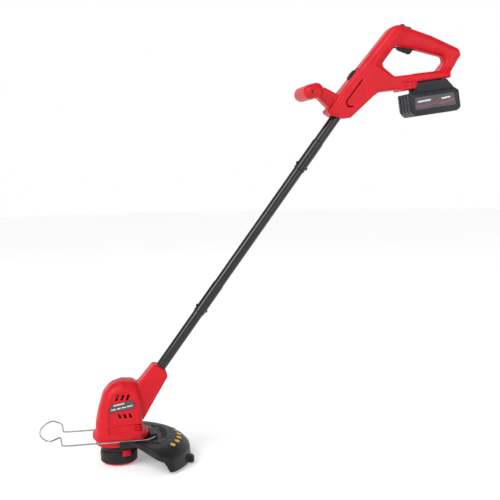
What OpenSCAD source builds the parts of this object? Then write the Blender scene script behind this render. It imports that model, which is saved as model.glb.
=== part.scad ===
// Cordless string trimmer: a battery D-handle, a three-piece pole and a motor head with a line spool.
// The origin is on the spool's axis at the ground. +Z is up, +X points back to the battery.

/* [Pole] */
// Angle of the pole above the ground, in degrees
pole_angle = 53.1; // [52.9:0.05:53.3]
// Outside diameter of the pole tubes
tube_d = 20; // [19.6:0.1:20.2]
// Wall of the pole tubes
tube_wall = 1; // [0.8:0.1:1.2]
// Length of each widened tube end
sleeve_len = 68; // [60:1:72]
// Diameter of the snap buttons that lock the tubes
snap_d = 6; // [5:0.5:6]

/* [Handle] */
// Half width of the handle body
body_half_w = 23; // [22:0.5:25]
// Half width of the rear grip
grip_half_w = 17; // [16.5:0.5:18]
// Wall of the moulded shells
shell_wall = 2.6; // [2.2:0.1:3]
// Length of the front T-grip
front_grip_len = 96; // [90:1:104]
// Trigger swing, in degrees
trigger_swing = 9; // [6:1:9]

/* [Head] */
// Half width of the motor housing at its foot
dome_half_w = 38; // [37:0.5:38.5]
// Half width of the foot flange
flange_half_w = 41.5; // [40:0.5:41.5]
// Diameter of the motor can
motor_d = 38; // [36:0.5:38]
// Diameter of the motor shaft
shaft_d = 5; // [4:0.5:5]

/* [Spool] */
// Outside diameter of the spool housing
spool_d = 70; // [66:1:71]
// Height of the spool's top above the ground
spool_top = 36; // [34:0.5:36]
// Travel of the bump spool
bump_travel = 5; // [3:0.5:5]

/* [Guards] */
// Outside radius of the cutting guard at its lower edge
guard_r = 138; // [134:1:142]
// Diameter of the plant guard's wire
wire_d = 3; // [2.5:0.1:3]
// Half the distance between the wire's two arms
wire_half_gap = 43.5; // [43.4:0.1:43.8]

/* [Battery] */
// Battery slope, rising to the rear, in degrees
rail_tilt = 7.5; // [7:0.1:8]
// Battery pack length
pack_len = 104; // [102:1:108]
// Battery pack width
pack_w = 70; // [69:0.5:74]
// Diameter of one cell
cell_d = 18.2; // [18:0.1:18.3]

/* [Hidden] */

$fn = 64;
red = "crimson";
black = "dimgray";
steel = "silver";
eps = 0.01;
far = 400;

// Clearance between pieces that move past each other, and the fit of pins and shafts
gap = 0.35;
fit = 0.05;

tube_r = tube_d / 2;
bore_r = tube_r - tube_wall;
sleeve_r = tube_r + 0.9;
snap_r = snap_d / 2;
snap_proud = 2;
// Distances along the pole from the point where its axis meets the ground
foot_x = -50.5;
lower_start = 160;
lower_joint = 352;
upper_joint = 689;
neck_end = 228;
handle_entry = 813;
tube_end = 888;
snap_step = 10;

motor_r = motor_d / 2;
shaft_r = shaft_d / 2;
motor_z = 64;
motor_top = 118;
ring_z = 38;
flange_z = 48;
dome_z = 62;
side_lean = atan(6 / 73);
flange_front = -49;
flange_rear = 58;

spool_r = spool_d / 2;
tab_turn = -66;
wire_r = wire_d / 2;
hinge_x = 68;
hinge_z = 51.5;

trigger_at = [563, 790];
rail_at = [605, 717];
half_pack = pack_w / 2;

// ---- shape helpers ----

function unit(v) = v / norm(v);

// Points of a round corner of radius r at b, between a and c
function fillet(a, b, c, r, steps = 4) =
    let (u = unit(a - b), v = unit(c - b), half = acos(u * v) / 2, t = r / tan(half),
        m = b + unit(u + v) * r / sin(half), s = b + u * t - m, e = b + v * t - m)
    [for (i = [0:steps]) m + r * unit(s * (1 - i / steps) + e * i / steps)];

// A closed outline through corners [x, z, radius], with every corner rounded
function rounded(corners) =
    let (n = len(corners), p = [for (k = corners) [k[0], k[1]]])
    [for (i = [0:n - 1]) each (corners[i][2] == 0 ? [p[i]]
        : fillet(p[(i + n - 1) % n], p[i], p[(i + 1) % n], corners[i][2]))];

// An outline in the XZ plane made into a plate from y0 to y1
module plate(points, y0, y1) {
    rotate([90, 0, 0]) translate([0, 0, -y1]) linear_extrude(y1 - y0) polygon(points);
}

// A convex plate of half width w whose side edges are bevelled by c
module bevelled(points, w, c) {
    hull() {
        plate(points, c - w, w - c);
        rotate([90, 0, 0]) linear_extrude(2 * w, center = true) offset(delta = -c) polygon(points);
    }
}

module along_pole(s) {
    translate([foot_x + s * cos(pole_angle), 0, s * sin(pole_angle)])
        rotate([0, 90 - pole_angle, 0]) children();
}

module on_rail() {
    translate([rail_at[0], 0, rail_at[1]]) rotate([0, -rail_tilt, 0]) children();
}

module box(x0, x1, y0, y1, z0, z1) {
    translate([x0, y0, z0]) cube([x1 - x0, y1 - y0, z1 - z0]);
}

module pipe(r_out, r_in, z0, z1) {
    translate([0, 0, z0]) difference() {
        cylinder(r = r_out, h = z1 - z0);
        translate([0, 0, -1]) cylinder(r = r_in, h = z1 - z0 + 2);
    }
}

module rod(x, z, r, y0, y1) {
    translate([x, y1, z]) rotate([90, 0, 0]) cylinder(r = r, h = y1 - y0);
}

// The half of the model on one side of the parting plane: -1 is the left, 1 the right
module half(side) {
    intersection() {
        children();
        translate([0, side * far, far]) cube([4 * far, 2 * far, 4 * far], center = true);
    }
}

// A round wire swept along points, with flat ends. Each ring's first axis is carried on from the last one.
function heading(p, i) = unit(p[min(i + 1, len(p) - 1)] - p[max(i - 1, 0)]);

function carried(p, i, a) =
    let (d = heading(p, i), b = unit(a - (a * d) * d))
    i == len(p) - 1 ? [b] : concat([b], carried(p, i + 1, b));

module sweep(p, r, sides = 8) {
    n = len(p);
    first = abs(heading(p, 0)[1]) < 0.9 ? [0, 1, 0] : [1, 0, 0];
    side = carried(p, 0, first);
    rings = [for (i = [0:n - 1]) let (up = cross(heading(p, i), side[i])) for (k = [0:sides - 1])
        p[i] + r * (side[i] * cos(360 * k / sides) + up * sin(360 * k / sides))];
    walls = [for (i = [0:n - 2]) for (k = [0:sides - 1]) let (q = (k + 1) % sides)
        [i * sides + k, (i + 1) * sides + k, (i + 1) * sides + q, i * sides + q]];
    caps = [[for (k = [0:sides - 1]) k], [for (k = [0:sides - 1]) n * sides - 1 - k]];
    polyhedron(rings, concat(walls, caps));
}

module coil(r, wire, turns, length) {
    steps = 12;
    sweep([for (i = [0:turns * steps])
        [r * cos(360 * i / steps), r * sin(360 * i / steps),
             wire + (length - 2 * wire) * i / (turns * steps)]],
        wire, 6);
}

// ---- handle ----

stem = [[420, 656], [447, 648.5], [464, 649.5], [508, 689], [530, 740], [481, 743], [446, 699], [424, 670]];
post = [[455, 710], [481, 743], [536, 809], [550, 821], [566, 826], [559, 786], [531, 752], [480, 690]];
web = rounded([[470, 655, 0], [508, 689, 8], [520, 698, 8], [594.8, 704.8, 1],
               [593.3, 716, 0], [600, 733.5, 0],
    [553, 728, 6], [531, 751, 3], [480, 690, 0]]);
bar = rounded([[590, 715.1, 0], [667, 725.3, 1], [672, 729, 1], [667, 741, 3], [590, 732.3, 0]]);
post_rear = [[655, 736], [669, 735], [693, 765], [695, 773], [690, 781], [670, 787], [663, 768],
    [661, 757], [650, 740]];
grip = [[557, 784], [550, 821], [565, 826], [576, 826], [590, 823], [631, 808], [686, 785], [693, 779],
    [690, 766], [680, 764], [656, 768], [596, 781]];
arm = [[398, 693], [413, 708.5], [443, 693], [455, 690], [440, 665], [424, 670]];
brow = rounded([[-42, -11, 3], [-11.5, -11.6, 2], [-11.5, 3, 2], [-40, 3, 3]]);
front_grip_at = [385, 699];
front_grip_r = 14.5;
front_screw_at = [380, 697];
handle_screw_at = [[468, 663], [495, 748], [526, 736], [560, 706.5], [652, 783], [682, 772], [661, 738]];
selector_at = [472, 731.7];
selector_slope = 51.5;
lock_at = [582, 824.6];
lock_slope = -13;

module at_selector() {
    translate([selector_at[0], 0, selector_at[1]]) rotate([0, -selector_slope, 0]) children();
}

module at_lock() {
    translate([lock_at[0], 0, lock_at[1]]) rotate([0, -lock_slope, 0]) children();
}

module front_grip() {
    reach = front_grip_len / 2 - front_grip_r;
    hull() for (y = [-reach, reach]) for (x = [-5, 5])
        translate([front_grip_at[0] + x, y, front_grip_at[1]]) sphere(r = front_grip_r, $fn = 32);
}

module handle_outside() {
    bevelled(stem, body_half_w, 7);
    bevelled(post, body_half_w, 8);
    bevelled(grip, grip_half_w, 7);
    bevelled(post_rear, grip_half_w - 1, 5);
    bevelled(arm, 14, 3);
    front_grip();
    plate(web, 3 - body_half_w, body_half_w - 3);
    plate(bar, 2 - grip_half_w - 4, grip_half_w + 2);
    on_rail() plate(brow, -body_half_w - 4, body_half_w + 4);
}

module handle_hollows() {
    depth = body_half_w - shell_wall - 6;
    difference() {
        union() {
            plate([[480, 734], [533, 797], [549, 812], [562, 800], [554, 784], [524, 752], [518, 716],
                [506, 706]], -depth, depth);
            plate([[549, 802], [566, 818], [585, 815], [640, 794], [640, 777], [600, 787], [562, 792]],
                  -13, 13);
            plate([[518, 704], [586, 709], [586, 726], [552, 722], [528, 742], [518, 740]], -depth, depth);
        }
        for (p = handle_screw_at) rod(p[0], p[1], 4.2, -far, far);
    }
    // Trigger slot, with room for the tip's arc
    box(556, 599.5, -6 - gap, 6 + gap, 765, 795);
    // Pocket of the front grip, round its screw boss
    difference() {
        for (x = [-5, 5]) rod(front_grip_at[0] + x, front_grip_at[1], 11.5, -34, 34);
        rod(front_screw_at[0], front_screw_at[1], 4.5, -far, far);
    }
}

module handle_cuts() {
    along_pole(handle_entry - 20) cylinder(r = tube_r, h = tube_end - handle_entry + 20);
    along_pole(tube_end - 1) cylinder(r = bore_r, h = 16);
    at_selector() box(-11.5, 18, -8, 8, -2.6, 30);
    at_lock() box(-11.5, 11.5, -5 - gap, 5 + gap, -13, 30);
    rod(trigger_at[0], trigger_at[1], 1.5, -15, 15);
    for (p = handle_screw_at) {
        rod(p[0], p[1], 1.5, -9, 8);
        rod(p[0], p[1], 3, 8, far);
    }
    rod(front_screw_at[0], front_screw_at[1], 1.6, -40, 20);
    rod(front_screw_at[0], front_screw_at[1], 3.2, -far, -40);
    on_rail() translate([0, 0, -6]) cube([14, 20, 16], center = true);
}

// T-shaped rail that the battery slides on to
module battery_rail() {
    on_rail() difference() {
        union() {
            box(-9, 46, -10, 10, -4.5, 2);
            box(-9, 46, -14, 14, -9, -4.5);
        }
        box(-7, 7, -10, 10, -20, 20);
    }
}

module handle_shell(side) {
    color(red) half(side) {
        difference() {
            handle_outside();
            handle_hollows();
            handle_cuts();
        }
        battery_rail();
    }
}

module handle_shell_left() { handle_shell(-1); }
module handle_shell_right() { handle_shell(1); }

// Pan-head screws along Y, head at y_head and point at y_end
module y_screw(x, z, r, head_r, y_head, y_end) {
    out = y_head > y_end ? 1 : -1;
    rod(x, z, r, min(y_head, y_end), max(y_head, y_end));
    translate([x, y_head, z]) rotate([-90 * out, 0, 0]) difference() {
        cylinder(r = head_r, h = 2.4);
        translate([0, 0, 1.2]) cube([0.9, 4.4, 3], center = true);
        translate([0, 0, 1.2]) cube([4.4, 0.9, 3], center = true);
    }
}

module handle_screws() {
    color(steel) for (p = handle_screw_at) y_screw(p[0], p[1], 1.5, 2.9, 8, -9);
}

module front_grip_screw() {
    color(steel) y_screw(front_screw_at[0], front_screw_at[1], 1.6, 3.1, -40, 20);
}

module trigger() {
    color(black) difference() {
        plate(rounded([[559.5, 787, 1], [567, 779.5, 5], [582, 773, 4], [590, 772.5, 2.5], [594, 780, 3],
            [597, 788, 2], [588, 792.5, 2], [563, 793.5, 3]]), -6, 6);
        rod(trigger_at[0], trigger_at[1], 1.5 + fit, -10, 10);
    }
}

module trigger_pin() {
    color(steel) rod(trigger_at[0], trigger_at[1], 1.5, -15, 15);
}

module trigger_spring() {
    color(steel) translate([604, 0, 789]) coil(2.4, 0.4, 4, 6);
}

module lock_off_button() {
    color(black) at_lock() {
        box(-11, 11, -5, 5, -4, 1);
        translate([-6.5, 0, 0.9]) intersection() {
            translate([0, 0, -1]) cylinder(r = 5, h = 4.6);
            translate([0, 0, -4.6]) sphere(r = 8.8);
        }
    }
}

module lock_off_spring() {
    color(steel) at_lock() translate([0, 0, -12.4]) coil(2.6, 0.4, 4, 5);
}

module switch_module() {
    color(black) {
        box(571, 598, -8, 8, 797.5, 809.5);
        for (x = [577, 592]) box(x, x + 1, -3, 3, 809.5, 811.3);
    }
}

module control_board() {
    color("darkgreen") translate([520, 0, 760]) rotate([0, -50, 0]) {
        box(-18, 18, -12, 12, -1, 0.6);
        for (x = [-11, 1, 9]) box(x, x + 6, -8, 4, 0.6, 4);
    }
}

module speed_selector() {
    color(black) at_selector() {
        box(-10.5, 10.5, -7.5, 7.5, -2.2, 3);
        for (i = [0:4]) box(-8.5 + 3.6 * i, -6.5 + 3.6 * i, -6.5, 6.5, 3 - eps, 4.4);
    }
}

module terminal_block() {
    color(black) on_rail() box(-7, 7, -10, 10, -9, 2);
}

module terminal_blades() {
    color("gold") on_rail() for (y = [-7, 0, 7]) box(-5, 6, y - 0.5, y + 0.5, -14, -9);
}

// ---- pole ----

module snap_holes(s, r_out) {
    along_pole(s + snap_step) rotate([0, 90, 0])
        cylinder(r = snap_r + fit, h = 2 * r_out + 4, center = true);
}

// A tube from s0 to s1 with a widened lower end
module sleeved_tube(s0, s1) {
    full = s1 - s0;
    step = sleeve_len - 4;
    difference() {
        along_pole(s0) rotate_extrude() polygon([[tube_r, 0], [sleeve_r, 0], [sleeve_r, step + 1],
            [tube_r, sleeve_len], [tube_r, full], [bore_r, full], [bore_r, step], [tube_r, step]]);
        snap_holes(s0, sleeve_r);
    }
}

// A plain tube end reaches this far into the sleeve above it
function plug_end(joint) = joint + sleeve_len - 4;

module upper_tube() { color(black) sleeved_tube(upper_joint, tube_end); }

module middle_tube() {
    color(black) difference() {
        sleeved_tube(lower_joint, plug_end(upper_joint));
        snap_holes(upper_joint, sleeve_r);
    }
}

module lower_tube() {
    color(black) difference() {
        along_pole(lower_start) pipe(tube_r, bore_r, 0, plug_end(lower_joint) - lower_start);
        snap_holes(lower_joint, sleeve_r);
    }
}

module spring_clip(joint) {
    color(steel) along_pole(joint + snap_step - snap_r - 26) for (side = [-1, 1]) {
        plate([[0, 0], [side * 7.5, 24], [side * 8.2, 24], [side * 1, 0]], -2.8, 2.8);
    }
}

module upper_spring_clip() { spring_clip(upper_joint); }
module lower_spring_clip() { spring_clip(lower_joint); }

// A snap button with its head outside the sleeve: -1 is the front side, 1 the rear side
module snap_button(joint, side) {
    color(black) along_pole(joint + snap_step) rotate([0, 90 * side, 0]) {
        translate([0, 0, bore_r - 1.2]) cylinder(r = snap_r, h = sleeve_r + snap_proud - bore_r + 0.2);
        translate([0, 0, sleeve_r + snap_proud - 1 - eps]) cylinder(r1 = snap_r, r2 = snap_r - 1, h = 1);
    }
}

module upper_snap_front() { snap_button(upper_joint, -1); }
module upper_snap_rear() { snap_button(upper_joint, 1); }
module lower_snap_front() { snap_button(lower_joint, -1); }
module lower_snap_rear() { snap_button(lower_joint, 1); }

// The cable's route: motor cap, neck, along the tubes beside the spring clips, handle, switch
cable_side = 5.6;
function on_pole(s) = [foot_x + s * cos(pole_angle), cable_side, s * sin(pole_angle)];
cable_ends = [[[12, 8, 126], [13, 8, 131], [19, 8, 133], [27, 7, 128], [34, 6, 120.5]],
    [[500, 5, 733], [512, 4, 744], [523.4, 4, 757], [537, 4, 773], [546, 3, 787],
     [555, 3, 799], [562, 2, 804],
        [570, 2, 804]]];
cable_route = concat(cable_ends[0], [for (s = [170:30:890]) on_pole(s)], cable_ends[1]);

module power_cable() { color(black) sweep(cable_route, 2); }

// ---- head ----

// One level of the dome: x0 is its front, x1 its rear, w its half width
module dome_level(z, x0, x1, w, r_front, r_rear) {
    for (side = [-1, 1]) {
        translate([x0 + r_front, side * (w - r_front), z]) cylinder(r = r_front, h = eps);
        translate([x1 - r_rear, side * (w - r_rear), z]) cylinder(r = r_rear, h = eps);
    }
}

module dome(t) {
    hull() {
        dome_level(dome_z, -44 + t, 46 - t, dome_half_w - t, 26 - t, 10 - t);
        dome_level(106, -36.5 + t, 42 - t, dome_half_w - 3.6 - t, 24 - t, 10 - t);
        dome_level(135, -28.5 + t, 38 - t, dome_half_w - 6 - t, 20 - t, 9 - t);
        dome_level(148 - t / 3, -19.5 + t, 37 - t, dome_half_w - 11 - t, 17 - t, 9 - t);
        dome_level(157.5 - t * 0.8, -5 + t, 33 - t, dome_half_w - 19 - t, 12 - t, 8 - t);
        dome_level(162.5 - t, 8 + t, 28 - t, dome_half_w - 27 - t, 8 - t, 8 - t);
    }
}

// A plate whose outline is two half circles of radius r joined by straight sides
module oval(r, x0, x1, z0, z1) {
    for (x = [x0, x1]) translate([x, 0, z0]) cylinder(r = r, h = z1 - z0);
    box(x0, x1, -r, r, z0, z1);
}

module flange() {
    w = flange_half_w;
    hull() for (x = [flange_front + w, flange_rear - w]) translate([x, 0, 0]) {
        translate([0, 0, flange_z]) cylinder(r = w - 3, h = eps);
        translate([0, 0, flange_z + 3]) cylinder(r = w, h = 8);
        translate([0, 0, dome_z + 2]) cylinder(r = w - 4, h = eps);
    }
}

module neck() {
    hull() {
        along_pole(neck_end - 4) cube([35, 35, eps], center = true);
        along_pole(neck_end) cube([31, 31, eps], center = true);
        along_pole(neck_end - 20) cube([36, 36, eps], center = true);
        box(34, 45, -21, 21, 84, 86);
        box(30, 34, -19, 19, 140, 154);
    }
}

// A frame on the dome's leaning side: x along the side, z up it, the surface at y = 0
module on_side(side) {
    translate([0, side * dome_half_w, dome_z]) rotate([side * side_lean, 0, 0]) children();
}

// One slanted vent slot, leaning by dx over its height
module vent(x, z, dx, h) {
    plate([[x, z], [x + 4.4, z], [x + 4.4 + dx, z + h], [x + dx, z + h]], -6, 6);
}

head_screw_at = [[-28, 78], [-27, 112], [2, 146], [34, 74]];
neck_screw_s = 206;
neck_screw_at = [foot_x + neck_screw_s * cos(pole_angle) + 13.6 * sin(pole_angle),
    neck_screw_s * sin(pole_angle) - 13.6 * cos(pole_angle)];

module head_outside() {
    dome(0);
    flange();
    neck();
    oval(38, -5, 4, ring_z, flange_z + 2);
}

module head_hollows() {
    difference() {
        dome(shell_wall);
        // Motor seat, motor collar and screw bosses
        box(-far, far, -far, far, dome_z - 3, motor_z);
        difference() {
            box(-far, far, -far, far, 98, 101);
            box(26, 32, -10, 10, 90, 110);
        }
        for (p = head_screw_at) rod(p[0], p[1], 4.2, -far, far);
        along_pole(lower_start) cylinder(r = tube_r + 3, h = 60);
    }
    translate([0, 0, motor_z - 6]) cylinder(r = 14, h = 12);
    translate([0, 0, motor_z]) cylinder(r = motor_r, h = motor_top - motor_z);
    translate([0, 0, flange_z]) cylinder(r = 34, h = 13);
    translate([0, 0, ring_z - 1]) cylinder(r = 8, h = 20);
    translate([0, 0, ring_z - 1]) cylinder(r = 35.4, h = 7);
}

module head_cuts() {
    along_pole(lower_start) cylinder(r = tube_r, h = neck_end);
    along_pole(lower_start - 24) cylinder(r = bore_r, h = 30);
    for (p = concat(head_screw_at, [neck_screw_at])) {
        rod(p[0], p[1], 1.5, -9, 8);
        rod(p[0], p[1], 3, 8, far);
    }
    for (side = [-1, 1]) {
        on_side(side) {
            for (i = [0:2]) {
                vent(-5 + 10 * i, 64.5, 3.6, 10);
                vent(2 + 10 * i, 31, -3.4, 8.5);
            }
            // Recess of the side panel
            translate([0, 0, -dome_z]) plate([[-17, 84], [35, 89], [29, 143], [-8, 136], [-19, 103]], -1, 1);
        }
        translate([guard_screw_at[0], side * guard_screw_at[1], flange_z - 1]) cylinder(r = 1.5, h = 8);
    }
}

module head_shell(side) {
    color(red) half(side) difference() {
        head_outside();
        head_hollows();
        head_cuts();
    }
}

module head_shell_left() { head_shell(-1); }
module head_shell_right() { head_shell(1); }

module head_screws() {
    color(steel) for (p = concat(head_screw_at, [neck_screw_at])) y_screw(p[0], p[1], 1.5, 2.9, 8, -9);
}

module nameplate() {
    color("darkslategray") on_side(-1) translate([0, 0, -dome_z])
        plate(rounded([[-17, 106, 1], [-10, 119, 2], [28, 127, 1], [31, 112.5, 1]]), 0.2, 1);
}

// ---- motor ----

module motor_can() {
    color(steel) difference() {
        translate([0, 0, motor_z]) cylinder(r = motor_r, h = motor_top - motor_z);
        translate([0, 0, motor_z + 1]) cylinder(r = motor_r - 1, h = motor_top - motor_z);
        translate([0, 0, motor_z - 1]) cylinder(r = 6, h = 3);
    }
}

module motor_magnets() {
    color(black) for (turn = [20, 200]) rotate(turn) translate([0, 0, motor_z + 6])
        rotate_extrude(angle = 140) translate([motor_r - 5.2, 0]) square([4, 40]);
}

module motor_end_cap() {
    color(black) difference() {
        union() {
            translate([0, 0, motor_top]) cylinder(r = motor_r, h = 3);
            translate([0, 0, motor_top + 3]) cylinder(r = 8, h = 3);
        }
        translate([0, 0, motor_top - 1]) cylinder(r = 6, h = 8);
    }
}

module motor_brushes() {
    color(black) for (side = [-1, 1])
        box(-2.5, 2.5, min(side * 5.4, side * 12), max(side * 5.4, side * 12), 111, 116);
}

module motor_bearings() {
    color(steel) {
        pipe(6, shaft_r + fit, motor_z - 3, motor_z + 3);
        pipe(6, shaft_r + fit, motor_top, motor_top + 6);
    }
}

module motor_shaft() {
    color(steel) translate([0, 0, 20]) cylinder(r = shaft_r, h = 106);
}

module motor_rotor() {
    color("peru") difference() {
        translate([0, 0, 72]) cylinder(r = motor_r - 5.6, h = 34);
        for (turn = [0:60:300]) rotate(turn) box(4, motor_r, -1.2, 1.2, 70, 110);
        translate([0, 0, 70]) cylinder(r = shaft_r, h = 40);
    }
}

module commutator() { color("peru") pipe(5, shaft_r, 108, 117); }

module cooling_fan() {
    color(black) {
        pipe(6, shaft_r, 50, 59.5);
        pipe(24, 5, 50, 51.6);
        for (turn = [0:40:320]) rotate(turn) box(5, 23, -0.8, 0.8, 51.5, 59.5);
    }
}

// ---- spool ----

cap_split = 28;
hub_r = 9;

module spool_housing() {
    color(black) difference() {
        union() {
            translate([0, 0, spool_top - 3]) cylinder(r = spool_r - 1, h = 3);
            pipe(spool_r - 1, spool_r - 3, cap_split, spool_top - 2);
            pipe(hub_r - 2, shaft_r, 22, 44);
        }
        translate([0, 0, 10]) cylinder(r = shaft_r, h = 40);
        for (turn = [tab_turn, tab_turn + 180]) rotate(turn) box(20, 40, -9, 9, 20, 31);
    }
}

module spool_cap() {
    color(black) difference() {
        pipe(spool_r, spool_r - 2.4, 3, cap_split);
        for (turn = [tab_turn, tab_turn + 180]) rotate(turn) box(20, 40, -9, 9, 18, 40);
        for (turn = [4, 184]) rotate(turn) translate([spool_r - 6, 0, 19]) rotate([0, 90, 0])
            cylinder(r = 3, h = 12);
    }
    color(black) difference() {
        pipe(spool_r - 2.4 + eps, spool_r - 6, 3, 6);
        translate([0, 0, 2]) cylinder(r = spool_r - 6, h = 6);
    }
}

// A release tab whose face follows the cap
module release_tab(turn) {
    color(red) rotate(turn) {
        intersection() {
            pipe(spool_r - 0.2, spool_r - 2.6, 18.5, 30.5);
            box(20, 40, -8.6, 8.6, 0, 60);
        }
        for (z = [20, 23, 26]) intersection() {
            pipe(spool_r + 0.5, spool_r - 1, z, z + 1.4);
            box(20, 40, -6, 6, 0, 60);
        }
    }
}

module release_tab_left() { release_tab(tab_turn); }
module release_tab_right() { release_tab(tab_turn + 180); }

module line_eyelets() {
    color(steel) for (turn = [4, 184]) rotate(turn) translate([spool_r - 3.4, 0, 19])
        rotate([0, 90, 0]) difference() {
            union() {
                cylinder(r = 3, h = 3.6);
                translate([0, 0, 3.4]) cylinder(r = 3.6, h = 1);
            }
            translate([0, 0, -1]) cylinder(r = 1.6, h = 8);
        }
}

module line_spool() {
    color(red) rotate_extrude() polygon([[0, 0], [20, 0], [26, 1.2], [spool_r - 6.6, 5], [spool_r - 6.6, 7],
        [12, 7], [12, 19], [spool_r - 8, 19], [spool_r - 8, 20.6], [7.4, 20.6], [7.4, 3], [0, 3]]);
}

module wound_line() { color("orange") pipe(23, 12, 7, 19); }

module spool_spring() { color(steel) translate([0, 0, 8.4]) coil(4.2, 0.5, 4, 7); }

// ---- guards ----

fan_start = -57;
fan_sweep = 129;
guard_screw_at = [49, 14];
lip_in = wire_half_gap + wire_r + 0.4;
blade_turn = -19;
corner_y = -106;
dot_r = guard_r - 22;
guard_skin = 2.5;

module swept(start, sweep_angle) {
    rotate(start) rotate_extrude(angle = sweep_angle, $fn = 180) children();
}

guard_top = flange_z;
guard_profile = [[40, guard_top], [guard_r - 34, guard_top], [guard_r - 28, guard_top - 1],
    [guard_r - 16, 42.4],
    [guard_r - 8, 36], [guard_r - 2.6, 28], [guard_r, 4], [guard_r - 2.6, 4], [guard_r - 5.1, 27.4],
    [guard_r - 9.8, 34.2], [guard_r - 17.3, 40.2], [guard_r - 28.8, 44.6],
    [guard_r - 34.2, guard_top - guard_skin],
    [40, guard_top - guard_skin]];
boss_at = [68, 52];

// Collar that wraps the rear half of the head's foot, with a lip outside each arm of the wire
module guard_collar() {
    difference() {
        oval(lip_in + 2, 0, 30, 39, 52);
        oval(lip_in, -60, 60, guard_top, 60);
        box(30, far, -far, far, guard_top, 60);
        box(-far, 0, -far, far, 0, 60);
    }
}

module cutting_guard() {
    color(black) difference() {
        union() {
            swept(fan_start, fan_sweep) polygon(guard_profile);
            guard_collar();
            // Rib and bosses that stiffen the top
            swept(-42, 78) translate([94, guard_top - 1]) square([2.4, 2.4]);
            for (side = [-1, 1])
                translate([boss_at[0], side * boss_at[1], guard_top - 1]) cylinder(r = 6, h = 3);
            // Holder of the cutter blade
            rotate(blade_turn) box(guard_r - 4, guard_r + 8, -5, 5, 4, 17);
            // Lug that the wire guard's two pins turn in
            box(flange_rear + 0.6, hinge_x + 5, -22, 22, guard_top - 1, hinge_z + 4);
        }
        rod(hinge_x, hinge_z, wire_r + fit, 12, far);
        rod(hinge_x, hinge_z, wire_r + fit, -far, -12);
        // The near corner is cut off square
        box(-far, far, -far, corner_y, 0, 60);
        oval(38, -5, 4, 30, 60);
        translate([0, 0, 30]) cylinder(r = 39, h = 14);
        for (side = [-1, 1]) {
            translate([guard_screw_at[0], side * guard_screw_at[1], 30]) cylinder(r = 1.5, h = 40);
            translate([guard_screw_at[0], side * guard_screw_at[1], 30])
                cylinder(r = 3.2, h = guard_top - guard_skin - 30);
            translate([boss_at[0], side * boss_at[1], guard_top - 5]) cylinder(r = 2, h = 10);
        }
        rotate(blade_turn) box(guard_r - 14, guard_r + 5, -0.6, 0.6, 6, 15);
    }
}

module guard_screws() {
    color(steel) for (side = [-1, 1]) translate([guard_screw_at[0], side * guard_screw_at[1], 0]) {
        translate([0, 0, guard_top - guard_skin - eps]) cylinder(r = 1.5, h = 8);
        translate([0, 0, guard_top - guard_skin - 2.4]) cylinder(r = 2.9, h = 2.4);
    }
}

module guard_dots() {
    color("gold") for (i = [0:5]) rotate(-32 + 10.8 * i)
        translate([dot_r, 0, 44.7]) rotate([0, 20.97, 0]) cylinder(r = 4.4, h = 0.4);
}

module line_cutter_blade() {
    color(steel) rotate(blade_turn) box(guard_r - 14, guard_r + 5, -0.6, 0.6, 6, 15);
}

// The wire's centre line on one side, from the loop's tip to the hinge pin
wire_side = [[-146, 0, 69], [-146, 12, 69], [-144, 26, 69], [-140, 41, 69], [-134, 55, 69], [-128, 64, 69],
    [-124, 65, 69], [-116, 55, 69], [-109, 44.5, 69], [-106.5, 43.6, 67], [-106, 43.5, 63],
     [-105.5, 43.5, 56],
    [-104.5, 43.5, 52.5], [-101, 43.5, 51.5], [-60, 43.5, 51.5], [-20, 43.5, 51.5], [20, 43.5, 51.5],
    [52, 43.5, 51.5], [56, 41.8, 51.5], [59, 38.5, 51.5], [65.5, 31.5, 51.5], [67.6, 28, 51.5],
     [68, 24, 51.5],
    [68, 13, 51.5]];
function mirrored(p) = [for (i = [len(p) - 1:-1:1]) [p[i][0], -p[i][1], p[i][2]]];

module wire_guard() {
    color(steel) sweep(concat(mirrored(wire_side), wire_side), wire_r, 12);
}

// ---- battery ----

pack_front = -32;
pack_rear = pack_front + pack_len;
pack_split = -42;
pack_top = -19.5;
pack_base = -65;
case_wall = 2.2;
side_outline = rounded([[pack_front, pack_base + 6, 6], [pack_front, pack_top, 3],
    [pack_rear - 4, pack_top - 0.5, 2], [pack_rear, pack_top - 7, 3], [pack_rear, pack_base + 4, 5],
    [pack_rear - 9, pack_base, 4], [pack_front + 9, pack_base, 5]]);
label_outline = rounded([[-22, -28.5, 2], [60, -28.5, 2], [62, -53.5, 2], [-23.5, -53.5, 2]]);
inner_outline = [[pack_front + 3, pack_base + 9], [pack_front + 3, pack_top - 2.5],
                 [pack_rear - 4, pack_top - 2.5],
    [pack_rear - 3, pack_top - 8], [pack_rear - 3, pack_base + 6], [pack_rear - 9, pack_base + 2.4],
    [pack_front + 10, pack_base + 2.4]];

module pack_body() {
    difference() {
        union() {
            plate(side_outline, 3 - half_pack, half_pack - 3);
            intersection() {
                plate(side_outline, -half_pack, half_pack);
                box(pack_front + 3, pack_rear - 2, -half_pack, half_pack, pack_base + 2, pack_top);
            }
        }
        plate(inner_outline, case_wall - half_pack, half_pack - case_wall);
    }
}

module label_pockets() {
    for (side = [-1, 1]) translate([0, side * half_pack, 0]) plate(label_outline, -0.8, 0.8);
}

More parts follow.
